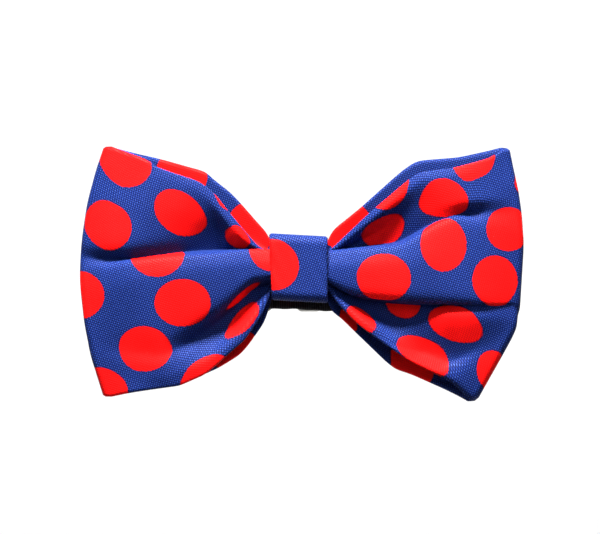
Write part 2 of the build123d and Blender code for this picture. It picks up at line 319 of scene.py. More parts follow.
def nickel():
    """Plated wire and pressed metal, finely brushed and a little rubbed."""
    n = Nodes("nickel")
    fine = n.noise(n.place(), 2600.0, 4.0)
    broad = n.noise(n.place(), 260.0, 3.0)
    colour = n.mix(n.spread(broad, 0.35, 0.7), METAL_DULL, METAL_BRIGHT)
    n.set(
        Base_Color=colour,
        Metallic=1.0,
        Roughness=n.spread(n.math("MULTIPLY_ADD", fine, 0.4, broad), 0.45, 0.95, 0.22, 0.34),
    )
    n.bump(fine, 0.15, 0.00002)
    return n.material


CLOTH = printed_cloth()
RIBBON = ribbon_cloth()
BLUE_THREAD = thread("blue_thread", (0.01, 0.02, 0.10, 1), (0.04, 0.08, 0.30, 1))
BLACK_THREAD = thread("black_thread", (0.005, 0.005, 0.005, 1), (0.04, 0.04, 0.045, 1))
FELT = stiffener()
NICKEL = nickel()


# --- Bow: lines that each panel's surface runs through --------------------------------------------
#
# A panel is drawn by lines from the knot to the outer fold, from its top edge down to its bottom
# edge. Each point is (x, z, y). A crease is a line set back between two rims.

LEFT_FRONT = [
    # top edge
    [(-7.9, 4.0, -8.0), (-11.3, 6.0, -10.0), (-13.2, 8.4, -11.4), (-18.6, 14.9, -12.8),
     (-22.7, 20.2, -13.2), (-26.8, 23.5, -13.4), (-37.7, 27.1, -13.0), (-42.3, 29.8, -12.2),
     (-53.2, 33.1, -9.4)],
    # roll just inside the top edge
    [(-7.9, 3.9, -8.4), (-11.8, 5.6, -11.4), (-14.4, 7.6, -12.8), (-20.0, 13.6, -13.8),
     (-24.0, 18.4, -14.0), (-28.0, 21.3, -14.0), (-38.2, 24.8, -13.4), (-55.4, 27.0, -9.4)],
    # upper field
    [(-7.9, 3.9, -7.9), (-13.0, 6.2, -11.4), (-18.4, 9.6, -12.9), (-21.8, 11.0, -9.8),
     (-26.0, 13.0, -12.2), (-31.8, 15.4, -13.6), (-42.0, 16.6, -13.4), (-57.8, 17.0, -9.4)],
    # upper crease's upper rim
    [(-7.9, 3.8, -7.5), (-13.0, 5.6, -10.2), (-18.2, 6.8, -11.2), (-22.2, 6.9, -8.4),
     (-27.0, 7.6, -9.9), (-31.0, 7.8, -11.4), (-38.0, 7.2, -12.8), (-45.6, 5.8, -12.9),
     (-52.0, 5.2, -11.9), (-59.4, 6.4, -9.4)],
    # upper crease
    [(-7.9, 3.6, -7.0), (-13.0, 5.1, -8.6), (-18.0, 4.8, -9.2), (-22.7, 4.5, -7.8),
     (-31.0, 4.0, -9.4), (-38.0, 3.2, -10.4), (-45.6, 2.4, -9.8), (-52.0, 2.4, -8.6),
     (-59.7, 2.8, -8.0)],
    # crease's lower rim
    [(-7.9, 5.0, -11.2), (-13.0, 4.7, -12.4), (-22.7, 3.9, -13.8), (-31.0, 3.2, -14.2),
     (-38.0, 2.4, -13.8), (-45.6, 1.4, -12.8), (-52.0, 0.2, -11.2), (-59.7, -0.6, -9.0)],
    # middle ridge
    [(-7.9, 1.8, -12.6), (-20.0, 0.5, -14.8), (-32.0, -1.0, -15.4), (-45.0, -3.4, -13.8),
     (-59.5, -7.0, -9.4)],
    # ridge's lower rim
    [(-7.9, -2.4, -12.8), (-12.9, -3.0, -13.6), (-19.9, -9.8, -14.2), (-27.9, -14.6, -14.0),
     (-33.0, -17.0, -13.6), (-40.0, -17.4, -13.4), (-58.4, -16.5, -9.4)],
    # lower crease
    [(-7.9, -4.0, -7.2), (-12.5, -5.2, -7.2), (-15.6, -8.2, -7.4), (-20.8, -13.1, -8.0),
     (-25.4, -16.8, -9.2), (-30.5, -20.4, -10.8), (-37.0, -23.4, -12.6), (-57.3, -21.5, -9.4)],
    # lower crease's lower rim
    [(-7.9, -5.2, -9.2), (-12.2, -9.5, -8.6), (-17.4, -15.9, -9.0), (-22.7, -20.0, -10.4),
     (-29.0, -23.8, -12.4), (-37.0, -26.4, -13.1), (-56.6, -25.0, -9.4)],
    # lower field
    [(-7.8, -6.2, -10.0), (-11.2, -12.0, -11.8), (-15.8, -18.0, -12.6), (-22.0, -23.4, -13.2),
     (-28.0, -27.0, -13.3), (-37.0, -29.6, -12.9), (-54.9, -30.0, -9.4)],
    # bottom edge
    [(-7.6, -7.0, -10.0), (-9.9, -12.8, -11.2), (-14.6, -19.6, -12.2), (-18.6, -22.9, -12.8),
     (-21.6, -25.8, -13.0), (-25.4, -28.9, -13.0), (-32.2, -31.9, -12.6), (-45.9, -33.8, -11.2),
     (-53.2, -35.0, -9.4)],
]

RIGHT_FRONT = [
    # top edge
    [(7.9, 4.2, -8.4), (9.5, 5.7, -9.4), (18.2, 14.1, -12.0), (21.6, 17.0, -12.4),
     (30.2, 24.3, -13.2), (32.8, 26.0, -13.3), (42.3, 27.2, -12.8), (53.6, 30.0, -10.4),
     (57.6, 32.2, -9.0)],
    # roll just inside the top edge
    [(7.9, 4.1, -8.8), (11.0, 5.8, -10.4), (19.6, 12.8, -12.8), (23.0, 15.6, -13.4),
     (31.0, 22.0, -14.0), (33.6, 23.6, -14.2), (43.0, 25.0, -13.6), (54.6, 27.4, -10.4),
     (58.6, 28.2, -9.0)],
    # upper field
    [(7.9, 3.9, -7.6), (13.0, 5.9, -7.6), (19.0, 9.2, -8.2), (24.0, 12.0, -9.2),
     (28.0, 14.6, -10.6), (32.0, 17.6, -12.4), (37.0, 20.2, -13.6), (44.0, 21.2, -13.7),
     (60.0, 22.6, -9.4)],
    # upper crease's upper rim
    [(7.9, 3.9, -7.3), (13.8, 5.5, -7.4), (20.6, 7.6, -7.9), (26.0, 9.2, -8.9),
     (29.5, 11.2, -10.0), (33.0, 13.6, -11.6), (38.0, 16.6, -13.0), (43.5, 17.8, -13.6),
     (47.0, 17.8, -13.4), (52.0, 18.6, -12.0), (60.6, 18.8, -9.4)],
    # upper crease
    [(8.0, 3.9, -7.0), (14.6, 5.1, -7.2), (22.3, 5.9, -7.8), (27.5, 6.6, -8.6),
     (30.5, 8.2, -9.4), (33.2, 9.9, -10.4), (36.8, 12.0, -11.6), (42.3, 14.2, -11.6),
     (46.6, 14.8, -9.8), (51.0, 15.4, -10.8), (61.0, 15.4, -9.4)],
    # crease's lower rim
    [(8.0, 4.4, -11.0), (14.6, 5.0, -12.2), (22.3, 5.6, -13.4), (27.5, 6.1, -14.0),
     (33.2, 9.2, -14.2), (36.8, 11.2, -14.0), (42.3, 13.4, -13.6), (47.0, 12.6, -12.9),
     (61.7, 10.4, -9.8)],
    # middle ridge
    [(7.9, 0.8, -12.6), (20.0, 0.8, -14.6), (32.0, 1.6, -15.4), (45.0, 2.4, -14.2),
     (61.2, 3.6, -9.8)],
    # ridge's lower rim
    [(8.0, -3.4, -12.6), (12.8, -6.2, -13.2), (17.5, -7.6, -13.8), (26.3, -8.5, -14.8),
     (33.2, -8.9, -15.0), (47.8, -9.1, -14.2), (53.2, -9.5, -12.4), (60.4, -9.1, -9.8)],
    # lower crease
    [(8.0, -3.8, -7.2), (12.8, -6.4, -7.0), (17.5, -8.0, -7.0), (26.3, -9.0, -7.4),
     (33.2, -9.5, -8.8), (47.8, -9.8, -11.0), (53.2, -10.2, -11.2), (60.3, -10.0, -9.2)],
    # lower crease's lower rim
    [(8.0, -4.4, -9.4), (12.8, -8.2, -9.2), (19.0, -12.4, -8.2), (26.0, -15.0, -8.4),
     (33.5, -14.4, -10.8), (40.0, -12.8, -13.0), (47.7, -13.0, -12.9), (60.5, -14.6, -9.4)],
    # lower field
    [(8.0, -5.4, -9.8), (11.6, -9.4, -11.4), (16.4, -13.6, -12.4), (21.0, -16.9, -12.6),
     (27.0, -20.8, -11.6), (34.0, -23.2, -9.2), (43.0, -25.6, -8.6), (50.0, -22.6, -9.4),
     (57.4, -20.4, -9.4)],
    # bottom edge
    [(8.0, -6.0, -9.8), (11.3, -10.4, -11.2), (15.7, -14.9, -12.2), (20.4, -18.6, -12.6),
     (26.3, -22.6, -12.8), (29.9, -25.2, -12.8), (36.5, -28.4, -12.4), (42.3, -31.0, -11.4),
     (48.6, -35.9, -9.4)],
]

LEFT_BACK = [
    [(-7.6, 7.6, -4.9), (-8.4, 9.4, -4.9), (-11.6, 12.9, -4.9), (-15.6, 17.5, -4.7),
     (-18.6, 20.7, -4.5), (-23.3, 24.3, -4.2), (-25.4, 26.4, -4.1), (-37.7, 29.8, -4.3),
     (-53.0, 33.0, -5.6)],
    [(-7.6, 4.6, -4.6), (-14.0, 9.0, -3.8), (-24.0, 15.0, -3.3), (-38.0, 19.0, -3.6),
     (-57.6, 18.0, -5.6)],
    [(-7.6, 2.4, -5.6), (-14.0, 4.8, -5.4), (-24.0, 7.0, -5.2), (-38.0, 8.6, -4.6),
     (-59.0, 8.0, -5.6)],
    [(-7.6, 0.2, -4.5), (-14.0, 0.0, -3.6), (-24.0, -0.5, -3.2), (-38.0, -1.0, -3.4),
     (-59.7, -2.0, -5.6)],
    [(-7.6, -2.2, -5.6), (-14.0, -5.4, -5.4), (-24.0, -8.6, -5.2), (-38.0, -11.0, -4.6),
     (-58.6, -13.0, -5.6)],
    [(-7.6, -5.0, -4.6), (-12.0, -11.0, -3.9), (-22.0, -18.0, -3.5), (-38.0, -22.0, -3.8),
     (-57.0, -22.0, -5.6)],
    [(-7.4, -8.6, -4.9), (-8.4, -12.8, -4.9), (-9.6, -15.4, -4.9), (-11.6, -18.0, -4.8),
     (-13.6, -21.0, -4.7), (-16.1, -23.8, -4.5), (-21.8, -27.3, -4.3), (-32.4, -32.0, -4.3),
     (-45.9, -33.8, -4.9), (-53.2, -35.0, -5.6)],
]

RIGHT_BACK = [
    [(7.6, 6.6, -4.9), (8.6, 9.8, -4.9), (16.7, 16.3, -4.7), (23.5, 22.4, -4.3),
     (27.9, 26.3, -4.1), (31.7, 29.0, -4.0), (33.6, 29.5, -4.0), (43.9, 30.3, -4.6),
     (57.5, 32.9, -5.6)],
    [(7.6, 4.6, -4.6), (14.0, 9.0, -3.8), (24.0, 15.0, -3.3), (38.0, 19.0, -3.6),
     (60.0, 19.0, -5.6)],
    [(7.6, 2.4, -5.6), (14.0, 4.8, -5.4), (24.0, 7.0, -5.2), (38.0, 8.6, -4.6),
     (61.4, 8.0, -5.6)],
    [(7.6, 0.2, -4.5), (14.0, 0.0, -3.6), (24.0, -0.5, -3.2), (38.0, -1.0, -3.4),
     (61.0, -2.0, -5.6)],
    [(7.6, -2.2, -5.6), (14.0, -5.4, -5.4), (24.0, -8.6, -5.2), (38.0, -11.0, -4.6),
     (60.4, -12.6, -5.6)],
    [(7.6, -4.8, -4.6), (13.0, -10.0, -3.9), (22.0, -17.0, -3.5), (38.0, -22.0, -3.8),
     (57.4, -20.6, -5.6)],
    [(7.4, -7.6, -4.9), (8.6, -11.6, -4.9), (11.3, -13.4, -4.9), (15.7, -17.7, -4.7),
     (24.1, -25.8, -4.4), (26.6, -27.7, -4.3), (30.6, -29.0, -4.3), (37.2, -31.8, -4.4),
     (48.6, -36.4, -5.6)],
]


def panel_grid(lines):
    """A panel's middle surface: rows from the knot to the outer fold, top edge to bottom edge."""
    side = math.copysign(1, lines[0][0][0])
    share = np.linspace(0, 1, STATIONS)
    feature = []
    for line in lines:
        x, z, y = np.array(line).T
        fold_room = side * (FOLD_REACH + CLOTH_HALF_T)
        at = x[0] + share * (x[-1] - fold_room - x[0])
        drawn_at = side * (at + fold_room * share**8)
        y_there, z_there = (np.interp(drawn_at, side * x, values) for values in (y, z))
        feature.append(np.stack([at, y_there, z_there], axis=1))
    feature = smooth_rows(np.array(feature), 3, axis=1)
    gaps = len(lines) - 1
    where = np.linspace(0, gaps, SAMPLES)
    low = np.minimum(where.astype(int), gaps - 1)
    part = (where - low)[:, None, None]
    grid = feature[low] * (1 - part) + feature[low + 1] * part
    grid = smooth_rows(np.moveaxis(grid, 0, 1), SMOOTHING, axis=1)
    return smooth_rows(grid, 3, axis=0)


def outer_fold(front_row, back_row, side):
    """The rounded turn from the front panel to the back panel."""
    rows = []
    for k in range(1, FOLD_ROWS + 1):
        turn = math.pi * k / (FOLD_ROWS + 1)
        ease = (1 - math.cos(turn)) / 2
        row = front_row * (1 - ease) + back_row * ease
        row[:, 0] += side * FOLD_REACH * math.sin(turn)
        rows.append(row)
    return np.array(rows)


def flat_places(grid, middle):
    """Where each point of a grid lay on the flat cloth, near enough: lengths along and across."""
    step = np.diff(grid, axis=0)
    along = np.zeros(grid.shape[:2])
    along[1:] = np.cumsum(np.hypot(step[..., 0], step[..., 1]), axis=0)
    step = np.diff(grid, axis=1)
    across = np.zeros(grid.shape[:2])
    across[:, 1:] = np.cumsum(np.hypot(step[..., 2], step[..., 1]), axis=1)
    across = across[:, middle : middle + 1] - across + grid[:, middle : middle + 1, 2]
    return np.stack([along, across], axis=2)


# --- Dots ------------------------------------------------------------------------------------------
#
# Each dot is (x, z, half width, half height, lean, zone): where its centre shows from the front,
# its size on the cloth, how many degrees it leans, and the field of the panel that it is on, from
# one crease to the next. ANY is for a dot that no crease cuts. ROLL is the turned top edge.

ANY, ROLL, UPPER, MIDDLE, LOWER = "any", "roll", "upper", "middle", "lower"

LEFT_FRONT_DOTS = [
    (-46.9, 28.5, 7.4, 6.3, 0, ANY),
    (-51.7, 11.5, 6.8, 6.4, 0, ANY),
    (-31.8, 14.8, 7.2, 5.9, -10, ANY),
    (-59.4, -7.4, 7.7, 6.6, 0, ANY),
    (-38.2, 2.8, 7.4, 6.4, 0, MIDDLE),
    (-31.4, -9.3, 7.6, 6.4, 0, MIDDLE),
    (-41.6, -21.8, 7.2, 6.2, 0, ANY),
    (-53.8, -33.9, 8.4, 7.0, 0, ANY),
    (-24.6, -31.3, 7.6, 6.6, 0, LOWER),
    (-15.4, -14.6, 6.4, 2.6, 52, LOWER),
    (-15.2, -6.8, 6.0, 2.0, 42, MIDDLE),
    (-16.5, 8.4, 4.0, 2.5, -50, UPPER),
    (-20.5, 17.8, 3.6, 1.3, -50, ROLL),
    (-7.2, 5.0, 6.4, 6.6, 0, MIDDLE),
]
RIGHT_FRONT_DOTS = [
    (24.2, 22.2, 5.8, 5.8, 0, ROLL),
    (39.2, 19.0, 6.7, 5.2, -8, UPPER),
    (47.6, 29.6, 5.9, 5.2, 0, ANY),
    (23.0, 10.6, 6.2, 4.8, 20, UPPER),
    (39.2, 6.3, 6.2, 7.2, 0, MIDDLE),
    (57.0, 10.6, 6.3, 6.0, 0, ANY),
    (53.2, -3.4, 6.6, 6.8, 0, MIDDLE),
    (23.1, -2.6, 7.3, 6.4, 0, MIDDLE),
    (28.6, -9.5, 4.8, 4.4, 0, LOWER),
    (42.6, -15.0, 7.2, 4.9, 0, LOWER),
    (17.0, -13.6, 4.9, 2.5, -48, LOWER),
    (33.5, -23.6, 7.4, 4.6, -18, LOWER),
    (55.0, -27.8, 4.6, 5.3, 0, ANY),
    (60.9, 23.6, 2.8, 3.6, 0, ANY),
]
LEFT_BACK_DOTS = [
    (-32.1, 25.5, 7.2, 6.6, 0, ANY),
    (-12.4, 11.4, 7.2, 7.0, 0, ANY),
    (-17.0, -22.9, 6.8, 6.6, 0, ANY),
    (-47.5, 14.5, 7.0, 6.6, 0, ANY),
    (-28.5, 7.0, 7.0, 6.6, 0, ANY),
    (-43.0, -4.0, 7.0, 6.6, 0, ANY),
    (-24.0, -8.5, 7.0, 6.6, 0, ANY),
    (-37.0, -18.5, 7.0, 6.6, 0, ANY),
    (-51.5, -19.0, 6.6, 6.4, 0, ANY),
]
RIGHT_BACK_DOTS = [
    (12.9, 11.4, 7.2, 7.0, 0, ANY),
    (31.0, -26.6, 6.3, 6.3, 0, ANY),
    (13.6, -14.4, 3.2, 3.2, 0, ANY),
    (30.5, 11.0, 7.0, 6.6, 0, ANY),
    (46.5, 20.5, 7.0, 6.6, 0, ANY),
    (46.5, 2.5, 7.0, 6.6, 0, ANY),
    (14.0, -1.5, 6.6, 6.4, 0, ANY),
    (28.5, -8.0, 7.0, 6.6, 0, ANY),
    (45.5, -14.5, 7.0, 6.6, 0, ANY),
]


def in_zone(zone, samples):
    """Which of a front panel's points across lie in a zone."""
    index = np.arange(samples)
    roll, upper_crease, lower_crease = (
        line * SAMPLES_PER_GAP for line in (1, UPPER_CREASE, LOWER_CREASE)
    )
    return {
        ANY: index >= 0,
        ROLL: index < 1.5 * roll,
        UPPER: index < upper_crease,
        MIDDLE: (index >= upper_crease) & (index < lower_crease),
        LOWER: index >= lower_crease,
    }[zone]


def print_dots(grid, flat, panel_rows, painted_rows, dots, edge):
    """Lowers edge, the distance from each point to the nearest dot's rim, where dots lie.

    A dot's centre is found on its own panel, and its disc may run on over the painted rows.
    """
    for x, z, half_width, half_height, lean, zone in dots:
        allowed = in_zone(zone, grid.shape[1])
        gap = np.full(grid.shape[:2], np.inf)
        gap[panel_rows] = np.hypot(grid[panel_rows][..., 0] - x, grid[panel_rows][..., 2] - z)
        gap[:, ~allowed] = np.inf
        nearest = np.unravel_index(np.argmin(gap), gap.shape)
        missed = (x - grid[nearest][0], z - grid[nearest][2])
        row, column = nearest
        other = row - 1 if row else 1
        shown_step = grid[row, column, 0] - grid[other, column, 0]
        flat_step = flat[row, column, 0] - flat[other, column, 0]
        sense = 1 if shown_step * flat_step >= 0 else -1
        right, up = ((flat - flat[nearest]) * (sense, 1) - missed).transpose(2, 0, 1)
        turn = math.radians(lean)
        along = (right * math.cos(turn) + up * math.sin(turn)) / half_width
        across = (up * math.cos(turn) - right * math.sin(turn)) / half_height
        rim = (np.hypot(along, across) - 1) * min(half_width, half_height)
        rim[:, ~allowed] = np.inf
        np.minimum(edge[painted_rows], rim[painted_rows], out=edge[painted_rows])


# --- Bow: the folded loop --------------------------------------------------------------------------


def thick_strip(name, surface, flat, material, closed, half_t=CLOTH_HALF_T):
    """A strip of cloth with rounded edges, half its thickness each side of a middle surface."""
    rows, samples = surface.shape[:2]
    if closed:
        wrapped = np.concatenate([surface[-2:], surface, surface[:2]])
        normals = grid_normals(wrapped)[2:-2]
    else:
        normals = grid_normals(surface)
    step = np.linalg.norm(np.diff(surface, axis=1), axis=2)
    down = np.concatenate([np.zeros((rows, 1)), np.cumsum(step, axis=1)], axis=1)
    from_edge = np.minimum(down, down[:, -1:] - down)
    inward = np.clip(1 - from_edge / EDGE_ROUND, 0, 1)
    half = half_t * np.sqrt(1 - inward**2)
    near = surface - normals * half[..., None]
    far = surface + normals * half[..., None]
    points = np.concatenate([near.reshape(-1, 3), far[:, 1:-1].reshape(-1, 3)])
    first_far = rows * samples

    def near_index(i, j):
        return (i % rows) * samples + j

    def far_index(i, j):
        if j in (0, samples - 1):
            return near_index(i, j)
        return first_far + (i % rows) * (samples - 2) + j - 1

    faces = []
    for i in range(rows if closed else rows - 1):
        for j in range(samples - 1):
            quad = [(i, j), (i + 1, j), (i + 1, j + 1), (i, j + 1)]
            faces.append([near_index(*k) for k in quad])
            faces.append([far_index(*k) for k in quad[::-1]])
    if not closed:
        for i, turn in ((0, 1), (rows - 1, -1)):
            for j in range(samples - 1):
                cap = [near_index(i, j), near_index(i, j + 1), far_index(i, j + 1), far_index(i, j)]
                faces.append(list(dict.fromkeys(cap))[::turn])
    piece = new_mesh(name, points, faces, material)
    set_cloth_map(piece, both_sides(flat))
    return piece


def both_sides(values):
    """Values on a strip's middle surface, repeated for the points of its two sides."""
    inner = values[:, 1:-1]
    tail = values.shape[2:]
    return np.concatenate([values.reshape(-1, *tail), inner.reshape(-1, *tail)])


def make_bow():
    """The whole strip: left front, round the left fold, both backs, and round to the right front."""
    middle = MIDDLE_RIDGE * SAMPLES_PER_GAP
    blocks = []
    for front, back, front_dots, back_dots, side in (
        (LEFT_FRONT, LEFT_BACK, LEFT_FRONT_DOTS, LEFT_BACK_DOTS, -1),
        (RIGHT_FRONT, RIGHT_BACK, RIGHT_FRONT_DOTS, RIGHT_BACK_DOTS, 1),
    ):
        front_grid, back_grid = panel_grid(front), panel_grid(back)
        fold = outer_fold(front_grid[-1], back_grid[-1], side)
        grid = np.concatenate([front_grid, fold, back_grid[::-1]])
        flat = flat_places(grid, middle)
        edge = np.full(grid.shape[:2], 1e3)
        front_rows = slice(0, STATIONS + FOLD_ROWS // 2)
        back_rows = slice(STATIONS + FOLD_ROWS // 2, None)
        weave = flat.copy()
        turn_length = flat[STATIONS + FOLD_ROWS // 2, :, 0]
        weave[..., 0] = np.minimum(flat[..., 0], 2 * turn_length - flat[..., 0])
        print_dots(grid, flat, front_rows, slice(None), front_dots, edge)
        print_dots(grid, weave, back_rows, back_rows, back_dots, edge)
        blocks.append((grid, weave, edge))
    (left, left_weave, left_edge), (right, right_weave, right_edge) = blocks
    loop = np.concatenate([left, right[::-1]])
    weave = np.concatenate([left_weave * (-1, 1), right_weave[::-1]])
    edge = np.concatenate([left_edge, right_edge[::-1]])
    piece = thick_strip("bow_cloth", loop, weave, CLOTH, closed=True)
    set_point_values(piece, "print_edge", both_sides(edge))
    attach(piece, "bow")
    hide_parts("bow_shell", "bow_interlining")


make_bow()


# --- Knot ------------------------------------------------------------------------------------------

KNOT_LEAN = 0.055
KNOT_LEFT_LEAN = 0.0405
KNOT_CORNER = 2.0
KNOT_SPACING = 0.5
KNOT_CROWN = 0.35
KNOT_RIPPLE = 0.10
KNOT_DOTS = [(-6.7, 0.5, 6.8), (3.6, 20.0, 7.4), (-5.8, -22.0, 7.4), (6.0, -30.0, 7.4)]


def rounded_rectangle(low, high, radius, spacing):
    """Points round a rectangle with round corners, from the middle of its first side."""
    (y0, z0), (y1, z1) = low, high
    centres = [(y0, z1, 1, -1), (y1, z1, -1, -1), (y1, z0, -1, 1), (y0, z0, 1, 1)]
    start_turns = (math.pi, math.pi / 2, 0, -math.pi / 2)
    outline = [(y0, (z0 + z1) / 2)]
    for (y, z, to_y, to_z), start in zip(centres, start_turns):
        for k in range(9):
            turn = start - math.pi / 2 * k / 8
            outline.append(
                (y + to_y * radius + radius * math.cos(turn), z + to_z * radius + radius * math.sin(turn))
            )
    outline.append(outline[0])
    return even_spacing(np.array(outline), spacing)


def even_spacing(points, spacing):
    """The same line with its points evenly spaced, and how far along each one is."""
    step = np.linalg.norm(np.diff(points, axis=0), axis=1)
    along = np.concatenate([[0], np.cumsum(step)])
    count = max(2, round(along[-1] / spacing) + 1)
    where = np.linspace(0, along[-1], count)
    return np.stack([np.interp(where, along, axis) for axis in points.T], axis=1), where


def make_knot():
    """The wrap: a band of the printed cloth round the waist, leaning a little."""
    low, high = corners("knot_wrap")
    inset = CLOTH_HALF_T
    outline, along = rounded_rectangle(
        (low[1] + inset, low[2] + inset),
        (high[1] - inset, high[2] - inset),
        KNOT_CORNER,
        KNOT_SPACING,
    )
    outline, along = outline[:-1], along[:-1]
    perimeter = along[-1] + along[1]
    height = np.where(along > perimeter / 2, along - perimeter, along)
    across = np.linspace(-1, 1, 41)
    half_width = (high[0] - low[0]) / 2
    y, z = outline[:, :1], outline[:, 1:]
    x = across[None, :] * half_width + 0 * y
    left = np.clip(-across, 0, 1)[None, :]
    x = x + left * KNOT_LEFT_LEAN * (half_width - z)
    crown = (1 - across**4)[None, :] * KNOT_CROWN
    ripple = KNOT_RIPPLE * np.sin(0.9 * z + 1.7 * x) * (across**2)[None, :]
    front = y < (low[1] + high[1]) / 2
    grid = np.stack(
        [x, y + np.where(front, KNOT_CROWN - crown + ripple, 0), z - KNOT_LEAN * x], axis=2
    )
    flat = np.stack([x, height[:, None] + 0 * x], axis=2)
    piece = thick_strip("knot_cloth", grid, flat, CLOTH, closed=True)
    edge = np.full(x.shape, 1e3)
    for dot_x, dot_up, radius in KNOT_DOTS:
        np.minimum(edge, np.hypot(x - dot_x, flat[..., 1] - dot_up) - radius, out=edge)
    set_point_values(piece, "print_edge", both_sides(edge))
    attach(piece, "bow")
    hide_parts("knot_wrap")


make_knot()


# --- Ribbon strap ----------------------------------------------------------------------------------

RIBBON_HALF_T = 0.42
RIBBON_SPACING = 0.7
JOIN_BEFORE_HINGE = 6.0
CAD_HALF_T = 0.5
BIGHT_R = 1.38
SLIDE_BIGHT_R = 1.30
LAP_R = 2.5
TAIL_LAP_R = 2.0
ARC_ROOM = 0.01
DOUBLED_GAP = 1.15
FRONT_R = 36.0
BACK_R = 22.0
LAP_START = 2.0
LAP_END = 5.5
HOOK_FOLD_LENGTH = 15.0
EYE_FOLD_LENGTH = 8.0
TAIL_LAP_START = 3.3
TAIL_LAP_END = 6.3
STRAP_LEAN = 0.045
STRAP_LEAN_REACH = 24.0


def rounded_path(points, radii):
    """A flat path of straight runs with an arc at each corner, evenly spaced."""
    points = [np.array(p, dtype=float) for p in points]
    line = [points[0]]
    for before, at, after, radius in zip(points, points[1:], points[2:], radii):
        into, out = (at - before), (after - at)
        into, out = into / np.linalg.norm(into), out / np.linalg.norm(out)
        turn = math.acos(np.clip(into @ out, -1, 1))
        back = radius * math.tan(turn / 2)
        sense = math.copysign(1, into[0] * out[1] - into[1] * out[0])
        start = at - into * back
        centre = start + sense * radius * np.array([-into[1], into[0]])
        for k in range(25):
            angle = sense * turn * k / 24
            arm = start - centre
            line.append(
                centre
                + (
                    arm[0] * math.cos(angle) - arm[1] * math.sin(angle),
                    arm[0] * math.sin(angle) + arm[1] * math.cos(angle),
                )
            )
    line.append(points[-1])
    return even_spacing(np.array(line), RIBBON_SPACING)


def make_ribbon(name, points, radii, dip=None):
    """A black ribbon standing on edge along a path. dip gives how its height varies along x."""
    low, high = corners("strap_front")
    middle_z, half_width = (low[2] + high[2]) / 2, (high[2] - low[2]) / 2
    path, along = rounded_path(points, radii)
    across = np.linspace(1, -1, 29)
    x = path[:, :1] + 0 * across
    y = path[:, 1:] + 0 * across
    z = middle_z + half_width * across[None, :] + 0 * x
    wave = 0.10 * np.sin(along * 0.45)[:, None] + 0.07 * np.sin(along * 1.13 + 1.0)[:, None]
    z = z + wave * (across < 0) * across**2
    if dip:
        z = z + dip(x)
    surface = np.stack([x, y, z], axis=2)
    flat = np.stack([along[:, None] + 0 * z, z], axis=2)
    piece = thick_strip(name, surface, flat, RIBBON, closed=False, half_t=RIBBON_HALF_T)
    return piece


def folded_end(bar_x, side, back_y, length):
    """A ribbon's path round a fitting's bar and back on itself. side is which way the end lies."""
    turn_x = bar_x - side * BIGHT_R
    return [
        (turn_x, back_y),
        (turn_x, back_y + 2 * BIGHT_R),
        (bar_x + side * LAP_START, back_y + 2 * BIGHT_R),
        (bar_x + side * LAP_END, back_y + DOUBLED_GAP),
        (bar_x + side * length, back_y + DOUBLED_GAP),
    ]


def make_strap():
    """The strap: its front stretch, its two arms and its doubled tail, meeting end to end."""
    front_low, front_high = corners("strap_front")
    left_high = corners("strap_left")[1]
    right_low = corners("strap_right")[0]
    loop_low, loop_high = corners("tail_loop")
    hook_bar_x = left_high[0] - CAD_HALF_T - BIGHT_R
    eye_bar_x = right_low[0] + CAD_HALF_T + BIGHT_R
    side_x = front_high[0] - CAD_HALF_T
    front_y = front_low[1] + CAD_HALF_T
    hinge_y = front_high[1] + CAD_HALF_T
    back_y = left_high[1] - CAD_HALF_T - 2 * BIGHT_R
    join_y = hinge_y - JOIN_BEFORE_HINGE

    def lean(x):
        return -STRAP_LEAN * x * np.exp(-((x / STRAP_LEAN_REACH) ** 2))

    front = make_ribbon(
        "strap_front_ribbon",
        [(-side_x, join_y), (-side_x, front_y), (side_x, front_y), (side_x, join_y)],
        [FRONT_R - JOIN_BEFORE_HINGE - ARC_ROOM] * 2,
        dip=lean,
    )
    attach(front, "bow")
    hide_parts("strap_front")

    bight_r = BIGHT_R - ARC_ROOM
    for name, side, bar_x, length in (
        ("left", -1, hook_bar_x, HOOK_FOLD_LENGTH),
        ("right", 1, eye_bar_x, EYE_FOLD_LENGTH),
    ):
        x = side * side_x
        points = [(x, join_y), (x, back_y), *folded_end(bar_x, side, back_y, length)]
        radii = [BACK_R, bight_r, bight_r, LAP_R, LAP_R]
        arm = make_ribbon(f"strap_{name}_ribbon", points, radii)
        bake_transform(arm)
        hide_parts(f"strap_{name}")

    near_x = side_x + DOUBLED_GAP
    far_x = loop_high[0] - CAD_HALF_T
    turn_y = loop_low[1] + CAD_HALF_T
    doubled_y = back_y + DOUBLED_GAP
    slide_bight_r = SLIDE_BIGHT_R - ARC_ROOM
    tail = make_ribbon(
        "strap_tail_ribbon",
        [
            (eye_bar_x + EYE_FOLD_LENGTH, doubled_y),
            (near_x, doubled_y),
            (near_x, turn_y),
            (far_x, turn_y),
            (far_x, turn_y + TAIL_LAP_START),
            (near_x + DOUBLED_GAP, turn_y + TAIL_LAP_END),
            (near_x + DOUBLED_GAP, loop_high[1]),
        ],
        [BACK_R + DOUBLED_GAP, slide_bight_r, slide_bight_r, TAIL_LAP_R, TAIL_LAP_R],
    )
    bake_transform(tail)
    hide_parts("strap_tail", "tail_loop")


make_strap()


# --- Metal and what stays as CAD made it -----------------------------------------------------------


STITCH_ROUND = 0.17
SHARP_EDGE = math.radians(30)


